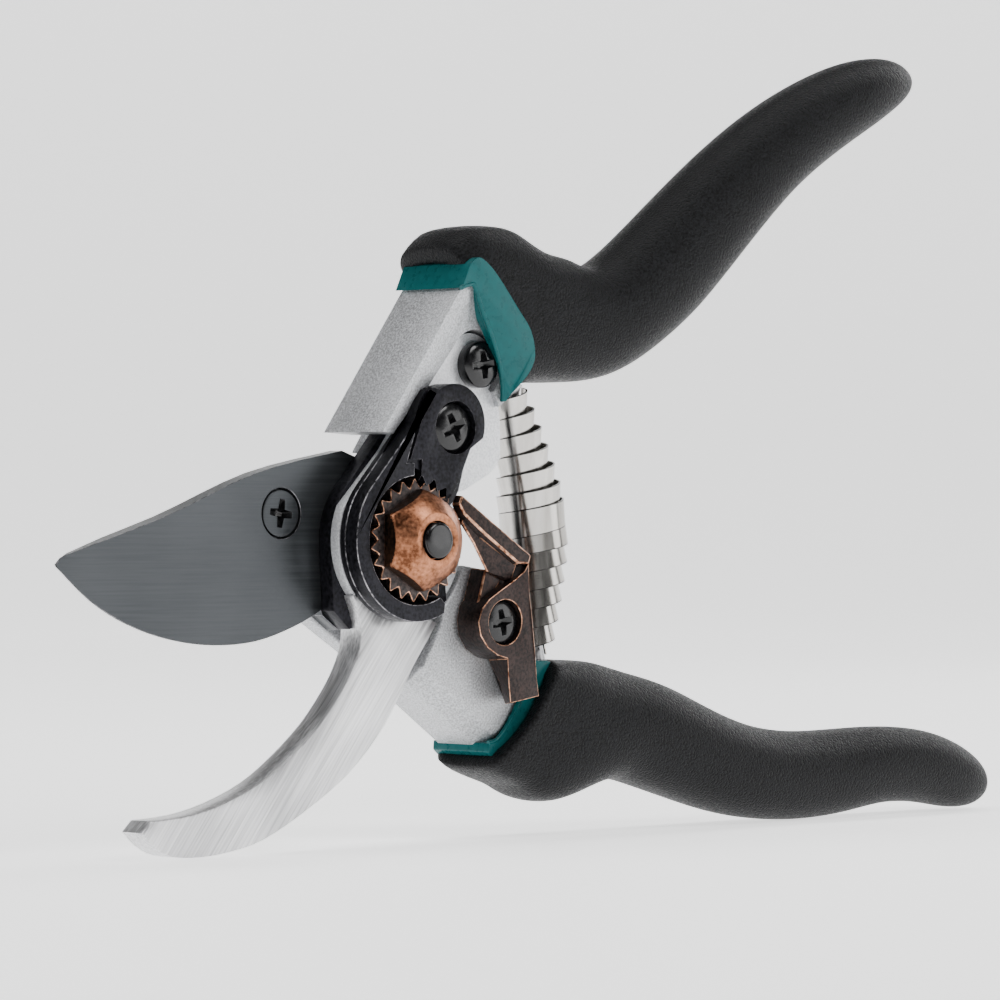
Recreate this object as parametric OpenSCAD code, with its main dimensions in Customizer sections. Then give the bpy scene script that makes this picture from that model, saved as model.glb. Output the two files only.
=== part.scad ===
// Bypass pruner, standing on the tip of its hook and on its lower grip, with its handles open.
// X runs from the blades to the grips, Z is up, and Y points away from the side with the nut.
// The origin is on the pivot's axis, in the middle of the back face of the bolt's head.
// Depths in slab(), round_y() and the rings are counted from the plane where the blades meet.

/* [Blades] */
// Thickness of the cutting blade
blade_t = 3; // [2:0.1:3.4]
// Thickness of the hook
hook_t = 5.3; // [4.8:0.1:5.6]
// Thickness of the hook's tang, between the two hubs
tang_t = 3; // [2:0.1:3.4]
// Radius of the cutting blade's round hub
hub_r = 13.4; // [12.5:0.1:13.6]

/* [Pivot] */
// Radius of the bolt's shank
bolt_r = 3.98; // [3:0.01:4.4]
// Radial clearance of the bush on the bolt
run_gap = 0.05; // [0.02:0.01:0.1]
// Wall of the bush that is pressed into the lower hub
bush_wall = 1.4; // [1:0.1:2]
// Size of the nut across its corners
nut_across = 16.7; // [14:0.1:18]
// Number of teeth on the toothed ring
ring_teeth = 23; // [18:1:28]
// Radius at the tips of the ring's teeth
ring_r = 10.1; // [9.8:0.1:10.3]

/* [Handles] */
// Thickness of the soft grips
grip_wall = 2.3; // [1.5:0.1:3]
// How far the teal trims stand proud of the castings
trim_proud = 0.9; // [0.4:0.1:1.2]
// Depth of the castings' front faces in front of the blades
cast_front = 9; // [8.6:0.1:9.2]
// Depth of the upper casting's back face behind the blades
cast_back = 5.6; // [5:0.1:6]
// Depth of the lower casting's back face behind the blades
arm_back = 7; // [6:0.1:8]

/* [Spring] */
// Number of turns that show
turns = 13; // [9:1:15]
// Radius of the spring at its middle
spring_r = 5.9; // [5:0.1:6.2]
// Radius of the spring at its ends
spring_end_r = 2.6; // [2.4:0.1:3.2]

/* [Hidden] */
$fn = 64;

slide_gap = 0.05;        // between faces that slide on each other
fit_gap = 0.12;          // between a casting's tang and its grip
edge_t = 1.2;            // the blade's thickness where its edge is ground
edge_grind = 2.4;        // width of the ground edge
hub_t = 2;               // upper hub plate
plate_y = tang_t + hub_t;        // depth of the locking plate's back
floor_y = plate_y;               // the pocket's floor lies level with it
strip_y = plate_y + 1.5;         // front of the locking plate's base
rim_y = plate_y + 4.2;           // front of the plate's rim and of the segment
ring_y = strip_y + 0.1;          // back of the toothed ring
nut_y = ring_y + 2.5;            // back of the nut
nut_t = 5;
bolt_end_y = nut_y + nut_t + 0.7;
cup_r = ring_r + 0.4;            // inside of the rim round the toothed ring
sink_y = strip_y + 0.8;          // floor of the segment's counterbore
washer_t = 0.8;
head_t = 3.2;
head_y = arm_back + washer_t;    // front of the bolt's head
back_y = head_y + head_t;        // the origin's depth
bush_r = bolt_r + run_gap + bush_wall;
sweep_r = hub_r + 0.9;           // what swings past a hub stays outside this

blade_screw_at = [-21.3, 4.4];
tang_screw_at = [16.4, 28.9];
segment_screw_at = [8.3, 18.4];
lever_at = [17.9, -13.6];
lug_at = [8.2, 19];
lug_r = 6.6;
plate_r = 13.3;
upper_seat_at = [29.2, 25.9];
lower_seat_at = [35, -20.9];
spring_bow = 2.4;        // how far the spring's middle lies off the line between its seats
spring_wall = 1.4;
peg_l = 7;               // length of the pegs of the spring's seats

// Outlines in the XZ plane, at rest.
blade_edge = [
    [-67.2, -3.8], [-60.4, -9.2], [-52.9, -13], [-44.5, -15.5], [-35.5, -16.6],
    [-26.6, -16.1], [-18.6, -13.9], [-12.9, -11.4]
];
blade_back = [[-6.3, 15.1], [-26.6, 10.9], [-45.6, 3.9], [-64.4, -1.7], [-67.5, -2.9]];
blade_heel = [[-12.6, -12.2], [-9.2, -14.6], [-2, -13]];
hook_inner = [
    [-10.6, -8.8], [-8.9, -13.2], [-9, -17], [-10.6, -20.8], [-13, -24.4], [-17.6, -29.6],
    [-23.8, -34.6], [-30.2, -38.6], [-37.8, -41.5], [-45, -43.1], [-52.4, -43.6]
];
hook_outer = [
    [-54.5, -45.4], [-51.6, -47.8], [-48, -49.5], [-42, -49.7], [-36, -49.2], [-29.8, -47.8],
    [-21.6, -43.9], [-12.1, -38.2], [-5.3, -32], [-0.9, -26.2], [2.6, -20.7], [6, -16.2],
    [7.8, -13.6]
];

// Stations of the grips: x, z, direction of the centre line, half height, half depth and the
// power of the section's ellipse, which is boxy at 0.45 and round at 1.
upper_stations = [
    [19.8, 36.6, 31, 12.5, 8.9, 0.45], [27.2, 39.4, 22, 14.2, 8.9, 0.55],
    [35.6, 37.9, 10, 11.8, 8.9, 0.7], [46.4, 36.5, 12, 9.6, 8.7, 0.82],
    [55.7, 40.6, 36, 9.3, 8.5, 0.86], [65.3, 47.4, 38, 9.4, 8.4, 0.86],
    [77.6, 57.8, 39, 8.7, 8.1, 0.86], [89.6, 67, 36, 7.8, 7.7, 0.86],
    [101.4, 73.8, 29, 7.2, 7.3, 0.86], [112.4, 78.7, 22, 6.4, 6.6, 0.88],
    [120.4, 81.3, 15, 4.9, 5.2, 0.92], [125.1, 82.1, 10, 2.9, 3.2, 1], [127.3, 82.3, 8, 0.6, 0.8, 1]
];
lower_stations = [
    [27, -28.4, -37, 10.3, 8.9, 0.45], [36, -31.8, -31, 13.2, 8.9, 0.6],
    [42, -32.8, -26, 12.9, 8.9, 0.75], [48.5, -32.5, -25, 11, 8.8, 0.84],
    [55, -32.5, -28, 9.6, 8.7, 0.86], [61.5, -34.2, -27, 9.2, 8.6, 0.86],
    [71.7, -37.7, -25, 8.6, 8.4, 0.86], [82.5, -40.7, -16, 8.2, 8.2, 0.86],
    [95, -42.1, -5, 7.9, 7.8, 0.86], [107, -41.8, 1, 7.6, 7.4, 0.86],
    [118.6, -40.9, 1, 6.9, 7, 0.86], [129.8, -41.6, -8, 6.6, 6.6, 0.88],
    [138.8, -43.9, -18, 5.8, 5.8, 0.92], [144.6, -45.7, -22, 3.8, 4, 1], [147.1, -46.5, -22, 0.7, 0.9, 1]
];
tang_stations = 9;       // the casting's tang ends at this station
ring_points = 24;
grip_steps = 2;          // rings made between two stations
grip_mid_y = 0.4;        // the grips lie this far in front of the blades' plane
tang_lead = 1.5;         // the castings' tangs start this far outside the grips

// ---- curves -------------------------------------------------------------------------------

function blend_of(a, b, c, d, t) =
    0.5 * (2 * b + (c - a) * t + (2 * a - 5 * b + 4 * c - d) * t * t
        + (3 * b - a - 3 * c + d) * t * t * t);

// A smooth line through the points, with n steps between each two.
function smooth(p, n) = [
    for (i = [0:len(p) - 2]) for (k = [0:n - 1])
        blend_of(p[max(i - 1, 0)], p[i], p[i + 1], p[min(i + 2, len(p) - 1)], k / n),
    p[len(p) - 1]
];

function polar(r, a) = [r * cos(a), r * sin(a)];
function arc(r, from, to, n) = [for (k = [0:n]) polar(r, from + (to - from) * k / n)];

// One ring round a grip's centre line.
function grip_ring(s, shrink) = [
    for (k = [0:ring_points - 1])
        let (a = 360 * k / ring_points,
            u = sign(cos(a)) * pow(abs(cos(a)), s[5]) * max(s[3] - shrink, 0.3),
            v = sign(sin(a)) * pow(abs(sin(a)), s[5]) * max(s[4] - shrink, 0.3))
        [s[0] - u * sin(s[2]), v - grip_mid_y - back_y, s[1] + u * cos(s[2])]
];

// ---- building blocks ----------------------------------------------------------------------

// A plate with the given XZ outline, from one depth in front to another.
module slab(front, back) {
    translate([0, back - back_y, 0]) rotate([90, 0, 0]) linear_extrude(back - front) children();
}

// A round bar along Y.
module round_y(r, front, back, at = [0, 0], r2 = -1) {
    translate([at[0], front - back_y, at[1]]) rotate([-90, 0, 0])
        cylinder(h = back - front, r1 = r, r2 = r2 < 0 ? r : r2);
}

// A solid through a list of rings, closed at both ends.
module skin(rings) {
    n = len(rings[0]);
    last = len(rings) - 1;
    polyhedron(
        points = [for (ring = rings) for (p = ring) p],
        faces = concat(
            [[for (k = [n - 1:-1:0]) k]],
            [for (i = [0:last - 1]) for (k = [0:n - 1])
                [i * n + k, i * n + (k + 1) % n, (i + 1) * n + (k + 1) % n, (i + 1) * n + k]],
            [[for (k = [0:n - 1]) last * n + k]]
        )
    );
}

// A grip: a cup whose bore follows the same stations.
module sleeve(stations) {
    outer = [for (s = smooth(stations, grip_steps)) grip_ring(s, 0)];
    bore = [for (s = smooth([for (i = [0:tang_stations]) stations[i]], grip_steps))
        grip_ring(s, grip_wall)];
    skin(concat([for (i = [len(bore) - 1:-1:0]) bore[i]], outer));
}

// A station moved along its own direction.
function moved(s, by) = [s[0] + by * cos(s[2]), s[1] + by * sin(s[2]), s[2], s[3], s[4], s[5]];

// The casting's tang, which starts a little outside the grip and fills its bore.
module tang(stations) {
    line = smooth([for (i = [0:tang_stations]) stations[i]], grip_steps);
    skin(concat(
        [grip_ring(moved(stations[0], -tang_lead), grip_wall + fit_gap)],
        [for (i = [0:len(line) - 2]) grip_ring(line[i], grip_wall + fit_gap)]
    ));
}

// Room for a casting's tang inside its trim.
module tang_clearance(stations) {
    line = smooth([for (i = [0:2]) stations[i]], grip_steps);
    skin(concat(
        [grip_ring(moved(stations[0], -tang_lead - 1), grip_wall)],
        [for (s = line) grip_ring(s, grip_wall)]
    ));
}

// A cross-shaped driver recess, cut to the given depths.
module cross_recess(at, size, front, back) {
    for (turn = [0, 90])
        translate([at[0], (front + back) / 2 - back_y, at[1]]) rotate([0, turn + 20, 0])
            cube([size, back - front, size * 0.24], center = true);
}

// A hole for a spring seat's peg, upright through the seat's place.
module peg_room(at, r) {
    translate([at[0], -back_y, at[1] - peg_l]) cylinder(r = r, h = 2 * peg_l);
}

// A screw with a domed head.
module pan_screw(at, r, front, under, shank_r, back) {
    dome = 0.9;
    difference() {
        union() {
            translate([at[0], under - back_y, at[1]]) rotate([90, 0, 0]) rotate_extrude()
                polygon(concat([[0, 0], [r, 0], [r, under - front - dome]],
                    [for (k = [1:5]) [r * cos(18 * k), under - front - dome + dome * sin(18 * k)]]));
            round_y(shank_r, under - 0.1, back, at);
        }
        cross_recess(at, r * 1.15, front - 1, front + 1.4);
    }
}

// Cuts a bevel along the front edge of a wall that runs from p to q, with the casting on its left.
module bevel(p, q, inward, depth, face) {
    along = atan2(q[1] - p[1], q[0] - p[0]);
    translate([p[0], -face - back_y, p[1]]) rotate([0, -along, 0]) rotate([90, 0, 90])
        translate([0, 0, -1]) linear_extrude(norm(q - p) + 2)
            polygon([[-1, -2], [-1, inward + inward / depth], [depth, 0], [depth + 0.1, -2]]);
}

// ---- lower handle body --------------------------------------------------------------------

wall_top = [3.8, -23.4];
wall_low = [20.6, -35.2];

module lower_front_outline() {
    difference() {
        polygon([
            [9.2, -4.2], [13.6, -4.2], [19, -5], [23.4, -8.6], [29.6, -17.6], [31.8, -22.1],
            [22.3, -34.7], wall_low, wall_top, [5, -20.5], [7.5, -16.6],
            [9.3, -13.2], [9.6, -10]
        ]);
        circle(r = sweep_r);
    }
}

module lower_back_outline() {
    circle(r = hub_r);
    polygon([
        [-27.2, 6.6], [-25.4, 9.6], [-21, 10.9], [-4, 12.6], [0, 0], [10, -4.2], [13.6, -4.2],
        [19, -5], [23.4, -8.6], [29.6, -17.6], [31.8, -22.1],
        [22.3, -34.7], wall_low, wall_top, [-12.4, -13], [-19, -9.6], [-26.6, -1.6], [-27.6, 3]
    ]);
}

module lower_handle() {
    color("silver") difference() {
        union() {
            slab(-5, blade_t + slide_gap) lower_front_outline();
            slab(blade_t, arm_back) lower_back_outline();
            tang(lower_stations);
        }
        bevel(wall_top - [14, -10], wall_low, 3.5, 3, 5);
        round_y(bush_r, -1, arm_back + 1);
        round_y(2.1, -6, 2.2, lever_at);
        round_y(2.1, blade_t - 1, arm_back - 1, blade_screw_at);
        peg_room(lower_seat_at, 1.5);
    }
}

module lower_trim() {
    color("teal") difference() {
        slab(-5 - trim_proud, arm_back + trim_proud) polygon([
            [18.7, -34.4], [19.6, -33.2], [23.4, -28.3], [26.6, -23.8], [29.4, -20.2],
            [33.18, -20.11], [20.68, -36.51]
        ]);
        slab(-5, arm_back) {
            lower_front_outline();
            lower_back_outline();
        }
        tang_clearance(lower_stations);
    }
}

module lower_grip() {
    color([0.09, 0.09, 0.1]) difference() {
        sleeve(lower_stations);
        peg_room(lower_seat_at, 2.1);
    }
}

module blade_outline() {
    circle(r = hub_r);
    polygon(concat(blade_back, smooth(blade_edge, 3), blade_heel, [[0, 0]]));
}

// The blade's back face, which stops short of the cutting edge.
module blade_back_outline() {
    circle(r = hub_r);
    intersection() {
        blade_outline();
        translate([1, edge_grind]) blade_outline();
    }
}

module cutting_blade() {
    color([0.33, 0.34, 0.36]) difference() {
        union() {
            slab(0, edge_t) blade_outline();
            slab(edge_t, blade_t) blade_back_outline();
        }
        round_y(bush_r, -1, blade_t + 1);
        round_y(2.1, -1, blade_t + 1, blade_screw_at);
        round_y(4, -0.01, 2, blade_screw_at, 2.1);
    }
}

module blade_screw() {
    color([0.3, 0.3, 0.32]) difference() {
        union() {
            round_y(3.95, 0, 1.9, blade_screw_at, 2.05);
            round_y(2.05, 1.8, arm_back - 1.2, blade_screw_at);
        }
        cross_recess(blade_screw_at, 4.4, -1, 1.3);
    }
}

module lever_screw() {
    color([0.08, 0.08, 0.09]) pan_screw(lever_at, 3.6, -10.5, -8.5, 2, 2);
}

module lever_washer() {
    color([0.6, 0.6, 0.62]) difference() {
        round_y(4.6, -5.55, -5, lever_at);
        round_y(2.1, -6, -4, lever_at);
    }
}

module lower_spring_seat() {
    color([0.7, 0.7, 0.72]) translate([lower_seat_at[0], -back_y, lower_seat_at[1]]) {
        translate([0, 0, 0.2 - peg_l]) cylinder(r = 1.45, h = peg_l - 0.1);
        cylinder(r = 2, h = 0.6);
        translate([0, 0, 0.6]) cylinder(r1 = 1.7, r2 = 1.2, h = 2.4);
    }
}

module pivot_bush() {
    color([0.72, 0.55, 0.28]) difference() {
        round_y(bush_r - 0.01, 0, arm_back);
        round_y(bolt_r + run_gap, -1, arm_back + 1);
    }
}

// ---- upper handle body --------------------------------------------------------------------

spine_low = [-7.4, 17.6];
spine_top = [12.4, 44.8];

module upper_outline() {
    polygon([
        spine_low, spine_top, [14.6, 45.2], [24.9, 28], [24.6, 25.6], [22.2, 23.4],
        [22, 20], [22.3, 14.5], [21.6, 12.4], [20.4, 11.1], [14.4, 8.3], [6, 6], [0, 0],
        [-9, 9], [-3.4, 14.4]
    ]);
}

// The pocket round the tang screw and the room for the locking plate, both open at the front.
module pocket_outline() {
    polygon(concat(
        [[-0.8, 17.2]],
        [for (a = [150:-12:-42]) [15.4, 28.6] + polar(6.1, a)],
        [[19.6, 21], [24, 20.4], [26, 12], [14, 0], [-14, -4], [-14, 14]]
    ));
}

module upper_handle() {
    color("silver") difference() {
        union() {
            difference() {
                slab(-cast_front, cast_back) upper_outline();
                slab(-cast_front - 1, -floor_y) {
                    pocket_outline();
                    offset(delta = 0.1) plate_outline();
                }
                slab(-tang_t, cast_back + 1) {
                    circle(r = sweep_r);
                    polygon([[0, 0], [-12, 15], [-6.6, 15.9], [-2.4, 14.4]]);
                    polygon([[0, 0], [12, 16.4], [24, 18.4], [26, 8]]);
                }
            }
            slab(-floor_y, -tang_t - slide_gap) circle(r = hub_r + 0.1);
            tang(upper_stations);
        }
        slab(-tang_t - slide_gap, 0) offset(delta = 0.2) tang_outline();
        round_y(bolt_r + 0.02, -cast_front - 1, cast_back + 1);
        round_y(2.05, -cast_front - 1, 1, tang_screw_at);
        round_y(2.05, -cast_front - 1, 0, segment_screw_at);
        peg_room(upper_seat_at, 1.5);
    }
}

module upper_trim() {
    color("teal") difference() {
        slab(-cast_front - trim_proud, cast_back + trim_proud) polygon([
            [8.9, 41.2], [9.8, 41.2], [13.6, 42.4], [14.8, 41.2], [16.8, 38], [18.4, 33.9],
            [20.2, 31], [21, 27], [21.5, 23.4], [23.2, 24.2], [26.07, 25.82], [13.27, 47.22],
            [11.4, 46]
        ]);
        slab(-cast_front, cast_back) upper_outline();
        tang_clearance(upper_stations);
    }
}

module upper_grip() {
    color([0.09, 0.09, 0.1]) difference() {
        sleeve(upper_stations);
        peg_room(upper_seat_at, 2.1);
    }
}

module tang_outline() {
    circle(r = hub_r);
    polygon([[-9.4, 9.4], [11.6, 33.4], [18, 34], [21, 29], [20.4, 22], [12.6, 4]]);
    polygon([[-13.3, -1], [-13.2, -4], [-12.7, -11.4], [-9.2, -14.6], [0, -13]]);
}

module hook_outline() {
    polygon(concat(smooth(hook_inner, 3), smooth(hook_outer, 3), [[0, 0]]));
}

module counter_blade() {
    color([0.78, 0.78, 0.8]) difference() {
        union() {
            slab(-tang_t, -slide_gap) {
                circle(r = hub_r);
                tang_outline();
                hook_outline();
            }
            slab(-hook_t, -tang_t) difference() {
                hook_outline();
                circle(r = hub_r + 0.3);
            }
        }
        round_y(bolt_r + 0.02, -8, 8);
        round_y(2.05, -8, 8, tang_screw_at);
        round_y(2.05, -8, 8, segment_screw_at);
    }
}

module tang_screw() {
    color([0.08, 0.08, 0.09]) pan_screw(tang_screw_at, 3.85, -7.5, -floor_y, 2, 0.5);
}

// The plate: a disc and a lug, joined along their common tangents.
module plate_outline() {
    lug_dir = atan2(lug_at[1], lug_at[0]);
    spread = acos((plate_r - lug_r) / norm(lug_at));
    circle(r = plate_r);
    translate(lug_at) circle(r = lug_r);
    polygon([
        polar(plate_r, lug_dir + spread), lug_at + polar(lug_r, lug_dir + spread),
        lug_at + polar(lug_r, lug_dir - spread), polar(plate_r, lug_dir - spread)
    ]);
}

// The plate's right edge is low, and cut back where the lock lever stands.
module plate_cut() {
    polygon([
        [14.9, 20], [11.6, 8.2], [10.7, 6.4], [8.4, 4.6], [8.4, -4.4], [10, -10.4], [24, -14],
        [24, 20]
    ]);
}

// The rim on the left of the groove, and on below the toothed ring.
module rim_outline() {
    difference() {
        intersection() {
            plate_outline();
            polygon([
                [-0.7, 9], [-0.7, 12.6], [-2.4, 12.6], [1.2, 22.6], [2.9, 27], [-20, 27],
                [-20, -20], polar(22, 297), polar(9, 297)
            ]);
        }
        circle(r = cup_r);
    }
}

module locking_plate() {
    color([0.12, 0.12, 0.14]) difference() {
        union() {
            slab(-strip_y, -plate_y) difference() {
                plate_outline();
                plate_cut();
            }
            slab(-rim_y, -strip_y) rim_outline();
        }
        round_y(bolt_r + 0.02, -20, 0);
        round_y(2.05, -20, 0, segment_screw_at);
    }
}

// The segment on the right of the groove.
module segment_outline() {
    difference() {
        intersection() {
            plate_outline();
            polygon([
                [0.9, 9], [0.9, 13.2], [-1.6, 13.2], [2, 22.6], [3.7, 27], [18, 27], [18, 17],
                [11.6, 15.6], [8.6, 8.9], [7.4, 7]
            ]);
        }
        circle(r = cup_r);
    }
}

module locking_segment() {
    pitch = 360 / ring_teeth;
    color([0.14, 0.14, 0.16]) difference() {
        union() {
            slab(-rim_y, -strip_y) segment_outline();
            for (k = [0:2]) slab(-rim_y, -strip_y) rotate(54 + k * pitch)
                polygon([[ring_r - 0.9, 0], [cup_r + 0.9, 1.1], [cup_r + 0.9, -1.1]]);
        }
        round_y(4.4, -rim_y - 1, -sink_y, segment_screw_at);
        round_y(2.05, -rim_y - 1, 0, segment_screw_at);
    }
}

module segment_screw() {
    color([0.08, 0.08, 0.09])
        pan_screw(segment_screw_at, 4.15, -rim_y + 0.2, -sink_y, 2, -0.4);
}

module toothed_ring() {
    pitch = 360 / ring_teeth;
    color([0.3, 0.26, 0.24]) difference() {
        slab(-nut_y, -ring_y) polygon([
            for (k = [0:ring_teeth - 1]) for (half = [0, 1])
                polar(half ? ring_r : ring_r - 1.4, 54 + (k + half / 2) * pitch)
        ]);
        round_y(bolt_r + 0.02, -20, 0);
    }
}

module pivot_nut() {
    color([0.78, 0.45, 0.28]) difference() {
        intersection() {
            translate([0, -nut_y - nut_t - back_y, 0]) rotate([-90, 30, 0])
                cylinder(r = nut_across / 2, h = nut_t, $fn = 6);
            round_y(nut_across / 2 - 1.6, -nut_y - nut_t, -nut_y, r2 = nut_across / 2 + 1.4);
        }
        round_y(2.95, -20, 0);
    }
}

module pivot_bolt() {
    color([0.2, 0.2, 0.22]) {
        round_y(bolt_r, -ring_y - 2, head_y + 0.1);
        round_y(2.9, -bolt_end_y, -ring_y - 1.9);
        round_y(6.6, head_y, back_y);
    }
}

module hub_washer() {
    color([0.7, 0.7, 0.72]) difference() {
        round_y(7.4, arm_back, head_y);
        round_y(bolt_r + run_gap, 0, 20);
    }
}

module upper_spring_seat() {
    color([0.7, 0.7, 0.72]) translate([upper_seat_at[0], -back_y, upper_seat_at[1]]) {
        cylinder(r = 1.45, h = peg_l - 0.2);
        translate([0, 0, -0.6]) cylinder(r = 2, h = 0.6);
        translate([0, 0, -3]) cylinder(r1 = 1.2, r2 = 1.7, h = 2.4);
    }
}

// The spring's turns telescope into each other, so it is a stepped barrel. Its middle bows out
// towards the grips.
module spring() {
    from = [upper_seat_at[0], upper_seat_at[1] - 1.2];
    to = [lower_seat_at[0], lower_seat_at[1] + 1.4];
    pitch = norm(to - from) / turns;
    function swell(k) = sin(180 * (k + 0.5) / turns);
    function turn_r(k) = spring_end_r + (spring_r - spring_end_r) * swell(k);
    color([0.75, 0.73, 0.7]) translate([to[0], -back_y, to[1]])
        rotate([0, -atan2(to[0] - from[0], from[1] - to[1]), 0])
            for (k = [0:turns - 1])
                translate([spring_bow * swell(k), 0, k * pitch]) difference() {
                    cylinder(r = turn_r(k), h = pitch + (k < turns - 1 ? 0.4 : 0));
                    translate([0, 0, -1])
                        cylinder(r = max(turn_r(k) - spring_wall, 1.98), h = pitch + 3);
                }
}

// ---- lock lever ---------------------------------------------------------------------------

lever_back_y = rim_y + 0.25;     // the arm passes in front of the locking plate
lever_y = lever_back_y + 1.2;    // front of the arm
lever_rib_y = lever_back_y + 1.8;

module lock_lever() {
    color([0.35, 0.2, 0.14]) difference() {
        union() {
            slab(-lever_y, -lever_back_y) polygon([
                [8, 7.4], [23.6, -2.7], [23.8, -9], [13.4, -10.4], [14.7, -4.8], [11.4, 0.4],
                [8.9, 2.8], [7.1, 5.9]
            ]);
            slab(-lever_rib_y, -lever_y) polygon([
                [8, 7.4], [23.6, -2.7], [20.6, -3.9], [8.6, 4.2]
            ]);
            round_y(6.1, -lever_rib_y + 0.2, -5.6, lever_at);
            slab(-10, -7) polygon([
                [18.6, -18.6], [21.9, -27.6], [27.4, -26.2], [26.4, -20.4], [24.8, -16.2],
                [23.4, -12]
            ]);
        }
        round_y(2 + run_gap, -20, 0, lever_at);
        round_y(3.75, -20, -8.5, lever_at);
    }
}

lower_handle();
lower_trim();
lower_grip();
cutting_blade();
blade_screw();
lever_screw();
lever_washer();
lower_spring_seat();
pivot_bush();
upper_handle();
upper_trim();
upper_grip();
counter_blade();
tang_screw();
locking_plate();
locking_segment();
segment_screw();
toothed_ring();
pivot_nut();
pivot_bolt();
hub_washer();
upper_spring_seat();
spring();
lock_lever();
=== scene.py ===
"""A bypass pruner standing open on its hook and on its lower grip.

Outlines are in millimetres in the XZ plane. Depths are in millimetres from the plane where the two
blades meet, and negative towards the side with the nut.
"""
import math

import bmesh
import bpy
from mathutils import Matrix, Vector


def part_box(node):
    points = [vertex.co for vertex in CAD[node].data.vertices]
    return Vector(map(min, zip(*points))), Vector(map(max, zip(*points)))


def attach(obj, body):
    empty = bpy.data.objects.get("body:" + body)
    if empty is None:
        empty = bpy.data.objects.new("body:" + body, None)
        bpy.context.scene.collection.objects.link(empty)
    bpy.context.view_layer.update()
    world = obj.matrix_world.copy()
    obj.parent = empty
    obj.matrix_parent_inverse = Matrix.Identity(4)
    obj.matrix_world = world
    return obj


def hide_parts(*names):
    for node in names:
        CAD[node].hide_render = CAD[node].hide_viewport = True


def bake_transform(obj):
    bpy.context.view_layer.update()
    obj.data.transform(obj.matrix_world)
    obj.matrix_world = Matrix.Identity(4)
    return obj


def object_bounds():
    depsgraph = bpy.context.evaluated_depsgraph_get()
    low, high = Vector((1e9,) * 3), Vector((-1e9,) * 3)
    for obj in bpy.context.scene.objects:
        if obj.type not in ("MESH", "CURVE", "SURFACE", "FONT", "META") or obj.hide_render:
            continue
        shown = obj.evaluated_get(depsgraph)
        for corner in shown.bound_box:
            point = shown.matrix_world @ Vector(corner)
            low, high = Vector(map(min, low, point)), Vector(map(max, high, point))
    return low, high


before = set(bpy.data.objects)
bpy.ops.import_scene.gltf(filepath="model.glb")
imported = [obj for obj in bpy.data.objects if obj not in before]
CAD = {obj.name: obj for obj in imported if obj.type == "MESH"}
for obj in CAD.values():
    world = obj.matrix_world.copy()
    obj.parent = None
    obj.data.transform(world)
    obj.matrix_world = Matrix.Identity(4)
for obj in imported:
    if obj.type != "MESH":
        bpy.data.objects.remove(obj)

cad_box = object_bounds()

MM = 0.001
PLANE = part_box("cutting_blade")[0].y
LOWER = "lower_handle"
UPPER = "upper_handle"
LEVER = "lock_lever"


# ---- points and curves ---------------------------------------------------------------------

def place(x, z, y):
    """A point of the row frame, from an outline's x and z and a depth."""
    return Vector((x * MM, PLANE + y * MM, z * MM))


def polar(r, degrees, at=(0, 0)):
    a = math.radians(degrees)
    return (at[0] + r * math.cos(a), at[1] + r * math.sin(a))


def arc(r, first, last, n, at=(0, 0)):
    return [polar(r, first + (last - first) * k / n, at) for k in range(n + 1)]


def smooth(points, n):
    """A Catmull-Rom curve through the points, with n steps between each two."""
    last = len(points) - 1
    curve = []
    for i in range(last):
        a, b, c, d = (points[max(0, min(last, i + k))] for k in (-1, 0, 1, 2))
        for k in range(n):
            t = k / n
            curve.append(tuple(
                0.5 * (2 * q + (r - p) * t + (2 * p - 5 * q + 4 * r - s) * t * t
                       + (3 * q - p - 3 * r + s) * t ** 3)
                for p, q, r, s in zip(a, b, c, d)
            ))
    curve.append(tuple(points[last]))
    return curve


# ---- meshes --------------------------------------------------------------------------------

def from_faces(name, points, faces):
    """A linked mesh object with its normals outwards."""
    mesh = bpy.data.meshes.new(name)
    mesh.from_pydata(points, [], faces)
    bm = bmesh.new()
    bm.from_mesh(mesh)
    bmesh.ops.remove_doubles(bm, verts=bm.verts, dist=1e-7)
    bmesh.ops.recalc_face_normals(bm, faces=bm.faces)
    bm.to_mesh(mesh)
    bm.free()
    piece = bpy.data.objects.new(name, mesh)
    bpy.context.scene.collection.objects.link(piece)
    return piece


def tube_faces(rings, count):
    """The faces of a closed tube: its two ends, and quads between rings of count points each."""
    last = (rings - 1) * count
    faces = [tuple(range(count)), tuple(range(last, last + count))]
    for i in range(0, last, count):
        for k in range(count):
            j = (k + 1) % count
            faces.append((i + k, i + j, i + count + j, i + count + k))
    return faces


def stack(name, layers):
    """A solid through layers of points (x, z, y), with the first and last layer closed."""
    points = [place(*p) for layer in layers for p in layer]
    return from_faces(name, points, tube_faces(len(layers), len(layers[0])))


def at_depth(outline, y):
    return [(p[0], p[1], y) for p in outline]


def plate(name, outline, front, back):
    """A flat piece between two depths."""
    return stack(name, [at_depth(outline, front), at_depth(outline, back)])


def lathe(name, profile, at=(0, 0), n=72):
    """A solid turned about the line along Y through at. The profile is (radius, depth)."""
    smallest_r = 0.001
    rings = []
    for r, y in profile:
        rings.append([(*polar(max(r, smallest_r), 360 * k / n, at), y) for k in range(n)])
    return stack(name, rings)


def bake(piece):
    """Applies the modifiers."""
    graph = bpy.context.evaluated_depsgraph_get()
    mesh = bpy.data.meshes.new_from_object(piece.evaluated_get(graph))
    piece.modifiers.clear()
    piece.data = mesh


def carve(piece, cutter):
    """Cuts the cutter out of the piece."""
    cut = piece.modifiers.new("cut", "BOOLEAN")
    cut.operation = "DIFFERENCE"
    cut.solver = "EXACT"
    cut.object = cutter
    bake(piece)
    bpy.data.objects.remove(cutter)


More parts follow.
